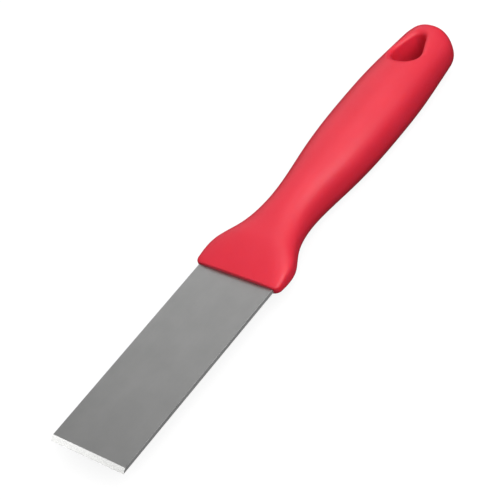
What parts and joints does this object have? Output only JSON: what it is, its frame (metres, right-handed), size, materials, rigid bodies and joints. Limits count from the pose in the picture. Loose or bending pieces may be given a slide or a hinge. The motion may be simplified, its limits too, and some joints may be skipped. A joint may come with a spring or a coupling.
{
  "type": "hive tool",
  "caption": "Hand scraper for bee hives: flat stainless strip blade ground to a chisel edge, moulded into a swelling plastic grip with a fishtail front and a drop-shaped hanging hole.",
  "frame": {"origin": "middle of the tool's length and width, at the height of the lowest point of the grip", "axes": "+X from the sharp edge of the blade towards the hanging hole, +Y across the blade, +Z out of the bevelled face of the blade"},
  "size_m": [0.2384, 0.0426, 0.0242],
  "materials": {
    "blade_steel": "fine satin grind, dull grey, bright ground bevel",
    "handle_plastic": "satin red polypropylene with a soft broad highlight"
  },
  "bodies": {
    "root": {"blade": "blade_steel", "handle": "handle_plastic"}
  },
  "joints": []
}
